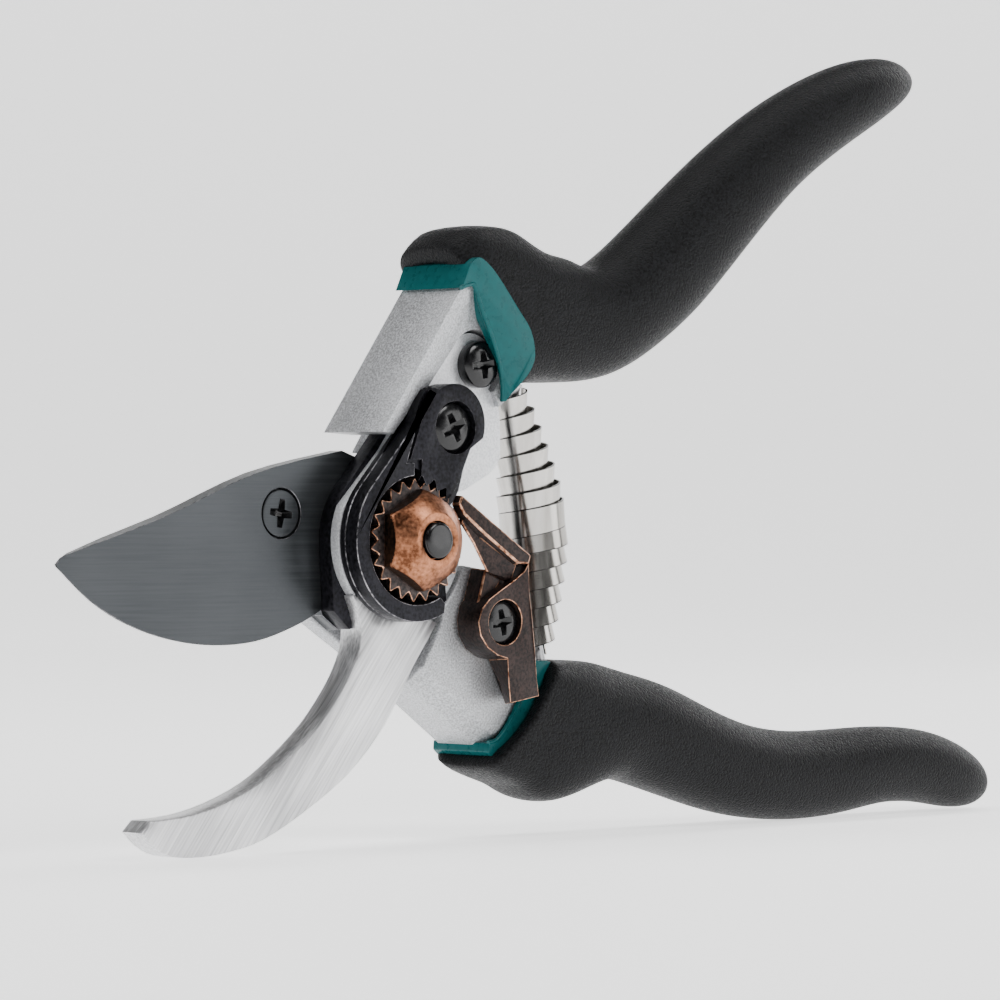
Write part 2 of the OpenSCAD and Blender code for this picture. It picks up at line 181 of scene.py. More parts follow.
def round_edges(piece, width, steps=2, angle=32, slot=-1):
    """Bevels edges sharper than the angle. The bevel takes the finish at slot, once painted."""
    bevel = piece.modifiers.new("bevel", "BEVEL")
    bevel.width = width * MM
    bevel.segments = steps
    bevel.limit_method = "ANGLE"
    bevel.angle_limit = math.radians(angle)
    bevel.material = slot
    bake(piece)


def shade(piece, angle):
    """Smooth shading, apart from edges sharper than the angle."""
    for polygon in piece.data.polygons:
        polygon.use_smooth = True
    piece.data.set_sharp_from_angle(angle=math.radians(angle))


def paint(piece, *finishes):
    piece.data.materials.clear()
    for finish in finishes:
        piece.data.materials.append(finish)
    return piece


def fit(piece, body, slot, *nodes, angle=38):
    """Puts a finished piece on its body, in place of CAD nodes."""
    shade(piece, angle)
    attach(piece, body)
    if nodes:
        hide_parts(*nodes)


# ---- materials -----------------------------------------------------------------------------

def link(tree, source, target):
    tree.links.new(source, target)


def grain(tree, size, detail=3, stretch=(1, 1, 1), turn=0.0):
    """A noise whose grains are about size metres wide."""
    coordinates = tree.nodes.new("ShaderNodeTexCoord")
    mapping = tree.nodes.new("ShaderNodeMapping")
    mapping.vector_type = "TEXTURE"
    mapping.inputs["Scale"].default_value = stretch
    mapping.inputs["Rotation"].default_value = (0, turn, 0)
    noise = tree.nodes.new("ShaderNodeTexNoise")
    noise.inputs["Scale"].default_value = 1 / size
    noise.inputs["Detail"].default_value = detail
    link(tree, coordinates.outputs["Object"], mapping.inputs["Vector"])
    link(tree, mapping.outputs["Vector"], noise.inputs["Vector"])
    return noise.outputs["Fac"]


def ramp(tree, source, stops):
    """Colours along a noise: stops are (place, colour)."""
    node = tree.nodes.new("ShaderNodeValToRGB")
    elements = node.color_ramp.elements
    while len(elements) < len(stops):
        elements.new(0.5)
    for element, (at, colour) in zip(elements, stops):
        element.position = at
        element.color = (*colour, 1)
    link(tree, source, node.inputs["Fac"])
    return node.outputs["Color"]


def spread(tree, source, low, high):
    """The middle of a noise's range, stretched from low to high."""
    node = tree.nodes.new("ShaderNodeMapRange")
    node.inputs["From Min"].default_value = 0.35
    node.inputs["From Max"].default_value = 0.65
    node.inputs["To Min"].default_value = low
    node.inputs["To Max"].default_value = high
    link(tree, source, node.inputs["Value"])
    return node.outputs["Result"]


def bump(tree, source, height, strength):
    node = tree.nodes.new("ShaderNodeBump")
    node.inputs["Distance"].default_value = height
    node.inputs["Strength"].default_value = strength
    link(tree, source, node.inputs["Height"])
    return node.outputs["Normal"]


def blend_noises(tree, fine, broad, share):
    """Two noises in one, of which the second has the share."""
    mix = tree.nodes.new("ShaderNodeMix")
    mix.data_type = "FLOAT"
    mix.inputs["Factor"].default_value = share
    link(tree, fine, mix.inputs["A"])
    link(tree, broad, mix.inputs["B"])
    return mix.outputs["Result"]


def new_finish(name, metallic, specular=0.5):
    finish = bpy.data.materials.new(name)
    finish.use_nodes = True
    tree = finish.node_tree
    shader = tree.nodes["Principled BSDF"]
    shader.inputs["Metallic"].default_value = metallic
    shader.inputs["Specular IOR Level"].default_value = specular
    return finish, tree, shader


def grained(name, dark, light, metallic, rough, size, height, strength, blotch=0.006, patchy=0.25,
            specular=0.5):
    """A finish with a fine grain over a broad, soft variation."""
    finish, tree, shader = new_finish(name, metallic, specular)
    fine = grain(tree, size)
    broad = grain(tree, blotch, 2)
    both = blend_noises(tree, fine, broad, patchy)
    colour = ramp(tree, both, [(0.38, dark), (0.62, light)])
    link(tree, colour, shader.inputs["Base Color"])
    link(tree, spread(tree, fine, *rough), shader.inputs["Roughness"])
    link(tree, bump(tree, fine, height, strength), shader.inputs["Normal"])
    return finish


SHEEN_BAND = 0.018
SCRATCH_DEPTH = 0.00004


def brushed(name, dark, light, metallic, rough, stretch, turn, strength, along):
    """A finish with fine parallel scratches, and a soft change of tone across them."""
    finish, tree, shader = new_finish(name, metallic)
    lines = grain(tree, along, 4, stretch, turn)
    both = blend_noises(tree, lines, grain(tree, SHEEN_BAND, 1), 0.4)
    colour = ramp(tree, both, [(0.36, dark), (0.62, light)])
    link(tree, colour, shader.inputs["Base Color"])
    link(tree, spread(tree, lines, *rough), shader.inputs["Roughness"])
    link(tree, bump(tree, lines, SCRATCH_DEPTH, strength), shader.inputs["Normal"])
    return finish


CAST = grained("sand_cast_silver", (0.34, 0.345, 0.355), (0.66, 0.67, 0.69), 0.6, (0.36, 0.6),
               0.00032, 0.0001, 0.7, patchy=0.1)
WEB = grained("smooth_silver", (0.62, 0.63, 0.65), (0.84, 0.85, 0.87), 0.5, (0.36, 0.5),
              0.00035, 0.00006, 0.4, patchy=0.1)
TEAL = grained("teal_moulding", (0.0, 0.078, 0.081), (0.0, 0.096, 0.099), 0.0, (0.26, 0.34),
               0.0012, 0.00002, 0.1, blotch=0.02, specular=0.2)
GRIP = grained("black_soft_grip", (0.0008, 0.0009, 0.001), (0.013, 0.0135, 0.015), 0.0,
               (0.3, 0.62), 0.0004, 0.0003, 1.0, patchy=0.05, specular=0.12)
BLADE = brushed("coated_blade", (0.042, 0.046, 0.050), (0.064, 0.069, 0.074), 0.8, (0.3, 0.4),
                (40, 1, 1), 0.0, 0.12, along=0.00035)
HOOK = brushed("brushed_hook", (0.42, 0.42, 0.43), (0.86, 0.86, 0.87), 0.85, (0.28, 0.42),
               (40, 1, 1), math.radians(-52), 0.25, along=0.0004)
BLACK = grained("black_oxide", (0.004, 0.004, 0.005), (0.020, 0.0195, 0.025), 0.6, (0.3, 0.5),
                0.0006, 0.00008, 0.6, specular=0.25)
WORN = grained("worn_black_edge", (0.04, 0.04, 0.045), (0.36, 0.35, 0.37), 0.85, (0.25, 0.42),
               0.0008, 0.00005, 0.4)
# The screws' own black, also used as painted shade in screw recesses and in the spring's gaps.
SCREW_BLACK_AND_SHADE = grained("black_screw_and_painted_shade", (0.002, 0.002, 0.0025), (0.006, 0.006, 0.007), 0.1, (0.14, 0.26),
                0.0012, 0.00003, 0.3)
RING = grained("ring_face", (0.014, 0.012, 0.012), (0.075, 0.057, 0.053), 0.7, (0.3, 0.5),
               0.0006, 0.00006, 0.5)
COPPER_EDGE = grained("worn_copper_edge", (0.13, 0.05, 0.025), (0.78, 0.43, 0.28), 0.95,
                      (0.22, 0.4), 0.0009, 0.00005, 0.4)
COPPER = grained("copper_plate", (0.11, 0.038, 0.016), (0.58, 0.24, 0.125), 0.9, (0.3, 0.44),
                 0.0006, 0.00006, 0.5, blotch=0.005, patchy=0.6)
PATINA = grained("copper_patina", (0.004, 0.003, 0.002), (0.055, 0.025, 0.013), 0.7, (0.3, 0.5),
                 0.0006, 0.00006, 0.5, blotch=0.004, patchy=0.5)
ANTIQUE = grained("antique_copper", (0.005, 0.003, 0.0028), (0.038, 0.023, 0.020), 0.65,
                  (0.3, 0.5), 0.0005, 0.0001, 0.6, blotch=0.003)
NICKEL = brushed("nickel_strip", (0.40, 0.38, 0.35), (0.60, 0.58, 0.55), 1.0, (0.16, 0.26),
                 (1, 1, 8), 0.0, 0.08, along=0.002)
ZINC = grained("zinc_plate", (0.4, 0.4, 0.41), (0.66, 0.66, 0.67), 0.9, (0.25, 0.4),
               0.0008, 0.00004, 0.3)
BRONZE = grained("sintered_bronze", (0.3, 0.18, 0.07), (0.58, 0.40, 0.18), 0.85, (0.35, 0.5),
                 0.0004, 0.00006, 0.5)


# ---- grips ---------------------------------------------------------------------------------

def soft_skin(node):
    """A smooth skin grown from a CAD grip, which keeps the grip's sharp edges nearly sharp."""
    mesh = CAD[node].data.copy()
    bm = bmesh.new()
    bm.from_mesh(mesh)
    bmesh.ops.remove_doubles(bm, verts=bm.verts, dist=1e-6)
    bmesh.ops.join_triangles(
        bm, faces=bm.faces, angle_face_threshold=math.radians(40),
        angle_shape_threshold=math.radians(50))
    crease = bm.edges.layers.float.new("crease_edge")
    for e in bm.edges:
        if len(e.link_faces) == 2 and e.calc_face_angle() > math.radians(50):
            e[crease] = 0.9
    bm.to_mesh(mesh)
    bm.free()
    piece = bpy.data.objects.new(node + "_skin", mesh)
    bpy.context.scene.collection.objects.link(piece)
    grown = piece.modifiers.new("grown", "SUBSURF")
    grown.levels = 2
    grown.render_levels = 2
    bake(piece)
    return piece


def push(piece, at, reach, shift):
    """Moves the vertices round a line along Y, less and less towards the reach."""
    for vertex in piece.data.vertices:
        away = math.hypot(vertex.co.x / MM - at[0], vertex.co.z / MM - at[1]) / reach
        if away < 1:
            vertex.co += Vector((shift[0], 0, shift[1])) * MM * (1 - away * away) ** 2


# The mouths lap over the trims at their outer ends: where, how far round it, and by how much.
SHAPING = {
    "upper_grip": [((13.4, 47.3), 12, (-3.3, 2.3)), ((10.5, 46.5), 6, (-0.6, -2.2)),
                   ((32, 51.5), 9, (-0.2, -1.3))],
    "lower_grip": [((20.8, -36.6), 9, (-2.8, -1.0))],
}
for node, body in (("upper_grip", UPPER), ("lower_grip", LOWER)):
    skin = paint(soft_skin(node), GRIP)
    for at, reach, shift in SHAPING[node]:
        push(skin, at, reach, shift)
    fit(skin, body, "grip_rubber", node, angle=60)


# ---- teal trims ----------------------------------------------------------------------------

BACK_Y = 5.6
LIP_R = 0.42
LIP_SUNK = 0.3


def bead(name, line, r):
    """A round bead along a line of points (x, z, y)."""
    sides = 10
    centres = [place(*p) for p in line]
    points = []
    for i, c in enumerate(centres):
        ahead = (centres[min(i + 1, len(centres) - 1)] - centres[max(i - 1, 0)]).normalized()
        side = ahead.cross(Vector((0, 1, 0))).normalized()
        up = ahead.cross(side)
        for k in range(sides):
            a = 2 * math.pi * k / sides
            points.append(c + (side * math.cos(a) + up * math.sin(a)) * r * MM)
    return from_faces(name, points, tube_faces(len(centres), sides))


UPPER_TRIM_IN = [
    (9.2, 41.3, -9.9), (10.8, 41.9, -9.9), (12.2, 41.7, -9.9), (14.1, 37.8, -9.6),
    (16.5, 33.8, -9.2), (19.4, 29.0, -8.2), (20.6, 25.4, -7.6), (20.9, 22.9, -7.2)
]
UPPER_TRIM_OUT = [
    (21.3, 22.9, -7.4), (21.7, 24.2, -8.4), (23.1, 25.9, -9.2), (24.7, 27.9, -9.6),
    (25.8, 30.5, -9.7), (24.8, 34.6, -9.8), (21.6, 38.4, -9.9), (17.4, 43.3, -9.9),
    (14.8, 45.6, -9.9), (12.8, 46.4, -9.9), (11, 45.2, -9.9)
]
LOWER_TRIM_IN = [
    (18.9, -33.7, -5.9), (20.7, -33.3, -5.9), (22.6, -31.7, -5.9), (24.6, -29, -5.9),
    (26.9, -25.3, -5.9), (29, -21.6, -5.9), (29.9, -20.4, -5.9)
]
LOWER_TRIM_OUT = [
    (32.2, -20.3, -5.9), (33.3, -21, -5.9), (32.9, -23.6, -6.1), (31.0, -27.6, -6.4),
    (28, -31.7, -6.4), (24.8, -34.9, -6.2), (21.8, -36.5, -5.9), (20.2, -36.3, -5.9),
    (18.8, -35.2, -5.9)
]


def trim(name, inner, outer, back, body, node, room):
    """A trim whose front lip lies on the casting, which takes up the room: an outline and depths."""
    outline = smooth(inner, 3) + smooth(outer, 3)
    piece = paint(stack(name, [outline, at_depth(outline, back)]), TEAL)
    carve(piece, plate("room", *room))
    round_edges(piece, 0.7, 4, 50)
    fit(piece, body, "teal_plastic", node)
    lip = bead(name + "_lip", [(x, z, y + LIP_SUNK) for x, z, y in smooth(inner, 4)], LIP_R)
    fit(paint(lip, TEAL), body, "teal_plastic")


UPPER_ROOM = [(12.4, 36), (12.6, 42), (14.6, 44), (24.6, 28.2), (24.2, 26), (22.2, 23.6), (20.4, 21),
              (14, 21)]
LOWER_ROOM = [(16, -27), (22.2, -34.2), (31.2, -22.2), (28, -16), (20, -16)]
trim("upper_trim_ring", UPPER_TRIM_IN, UPPER_TRIM_OUT, 6.5, UPPER, "upper_trim",
     (UPPER_ROOM, -7.1, BACK_Y))
trim("lower_trim_ring", LOWER_TRIM_IN, LOWER_TRIM_OUT, 7.9, LOWER, "lower_trim",
     (LOWER_ROOM, -4.6, 6.9))


# ---- blades --------------------------------------------------------------------------------

# The radii round the pivot follow from the hub's.
HUB_R = 13.4
BLADE_T = 3.0
BEVEL = 2.4
EDGE_LAND = 0.5
SEAT_R = 4.15
SEAT_DEPTH = 1.9
BLADE_SCREW_AT = (-21.3, 4.4)

edge = smooth([
    (-67.2, -3.8), (-60.4, -9.2), (-52.9, -13), (-44.5, -15.5), (-35.5, -16.6), (-26.6, -16.1),
    (-18.6, -13.9), (-12.9, -11.4)
], 4)
back_line = smooth([(-8.3, 14.6), (-26.6, 10.9), (-45.6, 3.9), (-64.4, -1.7)], 4)
tip = (-66.4, -2.4)
heel = [(-12.6, -12.2), (-9.2, -14.6), (-2, -13)]
hub_arc = arc(HUB_R, -80, 105, 24)


def blade_layer(inset, y):
    """The blade's outline with its edge ground back by inset. The blade thins out towards its tip."""
    ground = []
    for i, (x, z) in enumerate(edge):
        share = min(1, (len(edge) - 1 - i) / 4, (x + 68.5) / 9)
        ground.append((x + 0.45 * inset * share, z + inset * share))
    point = [(tip[0] + 0.3 * inset, tip[1] + 0.02 * inset)]
    line = back_line + point + ground + heel + hub_arc
    return [(x, z, y * max(0.2, min(1, (x + 69) / 14))) for x, z in line]


blade = stack("blade", [blade_layer(0, 0), blade_layer(0, EDGE_LAND), blade_layer(BEVEL, BLADE_T)])
carve(blade, lathe("hole", [(SEAT_R, -1), (SEAT_R, SEAT_DEPTH)], BLADE_SCREW_AT, 48))
paint(blade, BLADE, WORN)
round_edges(blade, 0.1, 1, 25, 1)
fit(blade, LOWER, "blade_steel", "cutting_blade")

HOOK_IN = [
    (-10.6, -8.8), (-8.9, -13.2), (-9, -17), (-10.6, -20.8), (-13, -24.4), (-17.6, -29.6),
    (-23.8, -34.6), (-30.2, -38.6), (-37.8, -41.5), (-45, -43.1), (-52.4, -43.6)
]
HOOK_OUT = [
    (-54.3, -45.4), (-51.6, -47.8), (-48, -49.4), (-42, -49.7), (-36, -49.1), (-29.8, -47.7),
    (-21.6, -43.9), (-12.1, -38.2), (-5.3, -32), (-0.9, -26.2), (2.6, -20.7), (6, -16.2),
    (7.8, -13.6)
]
hook_line = smooth(HOOK_IN, 3) + smooth(HOOK_OUT, 3) + [(4.6, -12.4), (-4, -10)]
hook = plate("hook", hook_line, -5.3, -0.05)
paint(hook, HOOK)
round_edges(hook, 0.22, 2, 35)
fit(hook, UPPER, "hook_steel", "counter_blade")

TANG_R = HUB_R - 0.05
tang_line = arc(TANG_R, -25, 20, 8) + [(20.4, 22), (21, 29), (18, 34), (11.6, 33.4), (-9.2, 9.6)]
tang_line += arc(TANG_R, 134, 176, 8) + [(-13.2, -4), (-12.7, -11.4), (-9.4, -14.4), (-3, -13.1)]
tang_line += arc(TANG_R, -100, -30, 8)
tang = plate("hook_tang", tang_line, -3.02, -0.06)
paint(tang, BLACK)
round_edges(tang, 0.2, 2)
fit(tang, UPPER, "black_steel")


# ---- upper casting -------------------------------------------------------------------------

POCKET_AT = (15.4, 28.6)
POCKET_R = 6.1
SPINE_Y = -9
SWEEP_R = HUB_R + 0.9

pocket_arc = arc(POCKET_R, -42, 150, 16, POCKET_AT)
rim = [(-7.4, 17.6), (7.3, 37.8), (12.4, 44.8), (14.6, 45.2), (24.9, 28), (24.6, 25.7), (22.4, 23.6),
       (20.9, 22)]
rim_y = [SPINE_Y, SPINE_Y, SPINE_Y, -8.8, -7.9, -7.4, -6.9, -6.2]
pocket_y = [-5.9 - 0.8 * k / (len(pocket_arc) - 1) for k in range(len(pocket_arc))]
foot = (-0.8, 17.2)
crown = (12.7, 41.6)

# The front's facets meet at the crown. Its points are the rim, then the pocket's arc, then the foot.
front_ring = [(x, z, y) for (x, z), y in zip(rim, rim_y)]
front_ring += [(x, z, y) for (x, z), y in zip(pocket_arc, pocket_y)] + [(*foot, -5.2)]
back_ring = at_depth(front_ring, BACK_Y)
around = len(front_ring)
arc_0 = len(rim)
arc_top = arc_0 + 7
crown_i = 2 * around
foot_i = around - 1
shoulder_points = [place(*p) for p in front_ring + back_ring + [(*crown, SPINE_Y)]]
shoulder_faces = [
    (0, 1, foot_i - 1, foot_i),
    (1, 2, 3, crown_i),
    (1, crown_i, arc_top, *range(arc_top + 1, foot_i)),
    (crown_i, 3, 4, *range(arc_0 + 3, arc_top + 1)),
    (4, 5, 6, 7, arc_0, arc_0 + 1, arc_0 + 2, arc_0 + 3),
    tuple(range(around, 2 * around)),
]
for k in range(around):
    j = (k + 1) % around
    shoulder_faces.append((k, j, around + j, around + k))
shoulder = from_faces("upper_casting", shoulder_points, shoulder_faces)
carve(shoulder, lathe("sweep", [(SWEEP_R, -3), (SWEEP_R, 9)]))
paint(shoulder, CAST)
round_edges(shoulder, 0.3, 2, 28)
fit(shoulder, UPPER, "cast_alloy", "upper_handle")

web_line = [(-3.4, 14.6), (4, 24.4), (12, 38), (19, 33), (21.6, 23.8), (22.1, 20)]
web_line += smooth([(22.3, 15), (21.9, 13.2), (21.1, 12), (19.8, 10.9)], 4)
web_line += [(14.4, 8.3), (10, 7)] + arc(HUB_R + 0.05, 25, -205, 40)
web = plate("upper_web", web_line, -5, -3.05)

# A narrow gap round the pocket, between the web and the pocket's wall.
gap_line = arc(POCKET_R + 0.02, -42, 150, 32, POCKET_AT) + [(-1.2, 17.6), (-0.5, 16.8)]
gap_line += arc(POCKET_R - 0.6, 152, -42, 32, POCKET_AT)
carve(web, plate("pocket_gap", gap_line, -6, -2.9))
paint(web, WEB)
round_edges(web, 0.35, 3, 35)
fit(web, UPPER, "cast_alloy")

core_line = [(9.5, 31), (13, 38), (20, 31), (21.8, 23.4), (21.9, 18.6), (12.4, 16.8), (8.9, 12.4)]
core_line += arc(SWEEP_R + 0.05, 50, 98, 8) + [(2, 20)]
core = plate("upper_core", core_line, -3.1, 5.2)
paint(core, CAST)
round_edges(core, 0.4, 2)
fit(core, UPPER, "cast_alloy")


# ---- lower casting -------------------------------------------------------------------------

WALL_TOP = (3.8, -23.4)
WALL_LOW = (20.4, -35.2)
ledge = [(19, -5), (23.4, -8.6), (29.6, -17.6), (31.6, -22)]
inner_side = arc(SWEEP_R + 0.1, -17, -48, 6) + [(9.3, -13.2), (7.5, -16.6), (5, -20.5)]
lower_face = ledge + [(22.4, -31.6), (20.6, -32.3), (5, -20.9)] + inner_side[::-1]
lower_wall = ledge + [(22.3, -34.6), WALL_LOW, WALL_TOP] + inner_side[::-1]
waist = stack("lower_casting", [
    at_depth(lower_face, -5), at_depth(lower_wall, -2), at_depth(lower_wall, 7)
])
paint(waist, CAST)
round_edges(waist, 0.45, 3, 28)
fit(waist, LOWER, "cast_alloy", "lower_handle")

arm_line = [(-27.6, 3), (-27.2, 6.6), (-25.4, 9.6), (-21, 10.9)] + arc(HUB_R, 108, -12, 20)
arm_line += [(18, -8), (20, -20), (17, -28), (5, -21.4), (3.9, -23.2), (-12.4, -13), (-19, -9.6)]
arm_line += [(-24, -5)]
arm = plate("lower_arm", arm_line, 3.05, 6.9)
paint(arm, CAST)
round_edges(arm, 0.5, 3, 30)
fit(arm, LOWER, "cast_alloy")


# ---- locking plate, segment and toothed ring --------------------------------------------------

PLATE_R = HUB_R - 0.1
LUG_AT = (8.2, 19)
LUG_R = 6.6
CUP_R = 10.5
TEETH = 23
PITCH = 360 / TEETH
FIRST_TOOTH = 54
RING_R = 10.1
SEGMENT_SCREW_AT = (8.3, 18.4)

lug_dir = math.degrees(math.atan2(LUG_AT[1], LUG_AT[0]))
lean = math.degrees(math.acos((PLATE_R - LUG_R) / math.hypot(*LUG_AT)))

base_line = [(8.4, -4.4), (8.4, 4.6), (10.7, 6.4), (11.6, 8.2), polar(LUG_R, lug_dir - lean, LUG_AT)]
base_line += arc(LUG_R, lug_dir - lean + 8, lug_dir + lean, 20, LUG_AT)
base_line += arc(PLATE_R, lug_dir + lean, 312, 50)
base = plate("locking_plate_base", base_line, -6.5, -5.02)
paint(base, BLACK, WORN)
round_edges(base, 0.2, 2, 30, 1)
fit(base, UPPER, "black_steel", "locking_plate")

rim_line = [(-0.7, 12.6), (-2.4, 12.6), (1.2, 22.6), (2.6, 24.4)]
rim_line += arc(LUG_R, 132, lug_dir + lean, 3, LUG_AT)
rim_line += arc(PLATE_R, lug_dir + lean, 296, 48)
rim_line += [polar(12, 300), polar(CUP_R, 298)]
rim_line += arc(CUP_R, 294, 94, 48)
cup = plate("locking_plate_rim", rim_line, -9.3, -6.45)
paint(cup, BLACK, WORN)
round_edges(cup, 0.4, 3, 35, 1)
fit(cup, UPPER, "black_steel")

groove_line = [(2.4, 10.4), (-0.9, 12.2), (-2.9, 12.4), (0.8, 22.7), (2.3, 24.6), (4.6, 23.4)]
groove_line += [(1.2, 13.6), (3.4, 13)]
groove = plate("locking_plate_groove", groove_line, -8.75, -6.4)
paint(groove, BLACK)
fit(groove, UPPER, "black_steel")


def toothed(outer, inner, first, count, pitch):
    """Points of count teeth, from a valley at the angle first."""
    line = []
    for k in range(count):
        start = first + k * pitch
        line += [polar(inner, start), polar(inner + 0.25, start + pitch * 0.12)]
        line += [polar(outer - 0.15, start + pitch * 0.42), polar(outer, start + pitch * 0.5)]
        line += [polar(outer - 0.15, start + pitch * 0.58), polar(inner + 0.25, start + pitch * 0.88)]
    return line


ring_line = toothed(RING_R, RING_R - 1.5, FIRST_TOOTH, TEETH, PITCH)
ring = plate("ring_of_teeth", ring_line, -9.1, -6.6)
paint(ring, RING, COPPER_EDGE)
round_edges(ring, 0.16, 2, 40, 1)
fit(ring, UPPER, "ring_steel", "toothed_ring")

mesh_line = toothed(RING_R + 0.45, RING_R - 1.0, FIRST_TOOTH - PITCH / 2, 3, PITCH)
segment_line = [(0.9, 13.2), (-1.6, 13.2), (2, 22.6), (3.4, 24.9)]
segment_line += arc(LUG_R, 122, -20, 20, LUG_AT) + [(11.6, 15), (8.6, 8.9), (7.6, 7.4)]
segment_line += mesh_line + [polar(CUP_R + 0.1, 86)]
segment = plate("segment", segment_line, -9.28, -6.52)
carve(segment, lathe("sink", [(4.4, -12), (4.4, -7.3)], SEGMENT_SCREW_AT, 48))
paint(segment, BLACK, WORN)
round_edges(segment, 0.22, 2, 35, 1)
fit(segment, UPPER, "black_steel", "locking_segment")


# ---- screws --------------------------------------------------------------------------------

TANG_SCREW_AT = (16.4, 28.9)
LEVER_AT = (17.9, -13.6)
CROSS_SHARE = 0.62


def cross_cutter(at, size, front, depth, turn):
    """A cross-shaped recess that narrows towards its bottom."""
    outline = []
    for quarter in range(4):
        for u, v in ((1, -0.22), (1, 0.22), (0.3, 0.3)):
            r = math.hypot(u, v) * size
            outline.append(polar(r, turn + 90 * quarter + math.degrees(math.atan2(v, u))))
    layers = []
    for share, y in ((1.06, front - 0.6), (1, front), (0.55, front + depth)):
        layers.append([(at[0] + x * share, at[1] + z * share, y) for x, z in outline])
    return stack("cross", layers)


def screw(name, at, r, front, under, body, node, turn, dome=0.9, finish=SCREW_BLACK_AND_SHADE):
    """A cross-recess screw head from its front to its underside. The recess is painted dark as painted
    shade.
    """
    profile = [(0, under), (r, under), (r, front + dome)]
    for k in range(1, 9):
        a = math.radians(90 * k / 8)
        profile.append((r * math.cos(a), front + dome - dome * math.sin(a)))
    piece = lathe(name, profile, at, 64)
    carve(piece, cross_cutter(at, r * CROSS_SHARE, front + 0.1 * dome, 1.4, turn))
    paint(piece, finish, SCREW_BLACK_AND_SHADE)
    round_edges(piece, 0.09, 2, 40)
    # Painted shade: the faces sunk inside the recess take the dark finish at slot 1.
    for polygon in piece.data.polygons:
        c = polygon.center
        sunk = (c.y - PLANE) / MM > front + dome + 0.05
        if sunk and math.hypot(c.x / MM - at[0], c.z / MM - at[1]) < 0.85 * r:
            polygon.material_index = 1
    fit(piece, body, "dark_screw", node)


screw("tang_screw_head", TANG_SCREW_AT, 3.85, -7.5, -5.0, UPPER, "tang_screw", 8)
screw("segment_screw_head", SEGMENT_SCREW_AT, 4.1, -9.1, -7.3, UPPER, "segment_screw", 26)
screw("lever_screw_head", LEVER_AT, 3.6, -10.3, -8.5, LOWER, "lever_screw", 12, dome=0.6)
screw("blade_screw_head", BLADE_SCREW_AT, 3.75, 0.02, SEAT_DEPTH, LOWER, "blade_screw", -8,
      dome=0.12, finish=BLADE)


# ---- nut and bolt ----------------------------------------------------------------------------

def domed_nut(name, across, front, back):
    """A hexagon nut with a domed front: at each depth the smaller of the hexagon and the dome."""
    sides = 96
    steps = 18
    face_r = 4.5
    straight = 0.16
    corner = across / 2
    flat = corner * math.cos(math.radians(30))
    angles = [360 * k / sides for k in range(sides)]
    rings = []
    for i in range(steps + 1):
        t = i / steps
        y = back - (back - front) * t
        climb = max(0.0, (t - straight) / (1 - straight))
        dome = face_r + (corner + 0.15 - face_r) * (1 - climb ** 1.7)
        ring_points = []
        for a in angles:
            hexagon = flat / math.cos(math.radians((a + 30) % 60 - 30))
            ring_points.append((*polar(min(hexagon, dome), a), y))
        rings.append(ring_points)
    for bore_r, y in ((3.2, front + 0.05), (3.1, front + 1.6)):
        rings.append([(*polar(bore_r, a), y) for a in angles])
    return stack(name, rings)


nut = domed_nut("domed_nut", 16.7, -14.1, -9.12)
paint(nut, COPPER, PATINA)
round_edges(nut, 0.12, 2, 30)
for polygon in nut.data.polygons:
    if abs(polygon.normal.y) < 0.08:
        polygon.material_index = 1
fit(nut, UPPER, "copper_plate", "pivot_nut")

bolt_end = lathe("bolt_end", [
    (2.9, -9), (2.9, -14.25), (2.75, -14.35), (2.75, -14.45), (2.85, -14.55), (2.7, -14.68),
    (2.4, -14.76), (1.2, -14.79), (0, -14.8)
])
paint(bolt_end, SCREW_BLACK_AND_SHADE)
round_edges(bolt_end, 0.05, 1, 40)
fit(bolt_end, UPPER, "black_steel", "pivot_bolt")

bolt_head = lathe("bolt_head", [
    (0, 6.9), (3.98, 6.9), (3.98, 7.8), (6.4, 7.8), (6.6, 8), (6.6, 10.3), (6.0, 10.95),
    (5.7, 11), (0, 11)
])
paint(bolt_head, BLACK)
round_edges(bolt_head, 0.12, 2, 40)
fit(bolt_head, UPPER, "black_steel")


# ---- lock lever ------------------------------------------------------------------------------

RIB_TOP = [(8.0, 7.3), (23.4, -2.6), (22.9, -4.0), (20.6, -3.9), (13.2, 0.9), (8.4, 4.3), (7.3, 5.9)]
RIB_FOOT = [(8.0, 7.4), (23.7, -2.7), (23.3, -4.2), (20.2, -4.3), (12.9, 0.2), (8.2, 3.9), (7.1, 5.9)]
arm_rib = stack("lever_rib", [
    at_depth(RIB_TOP, -11.25), at_depth(RIB_FOOT, -10.2), at_depth(RIB_FOOT, -9.45)
])
arm_web = stack("lever_web", [
    [(9, 4.2, -10.7), (20.8, -3.9, -10.6), (20.2, -6.6, -9.9), (14.9, -5.2, -9.75), (11.9, -0.6, -9.8),
     (8.9, 3, -10)],
    [(9, 4.2, -9.45), (20.8, -3.9, -9.45), (20.2, -7.6, -9.45), (14.7, -5.2, -9.45),
     (11.6, -0.4, -9.45), (8.7, 3, -9.45)],
])

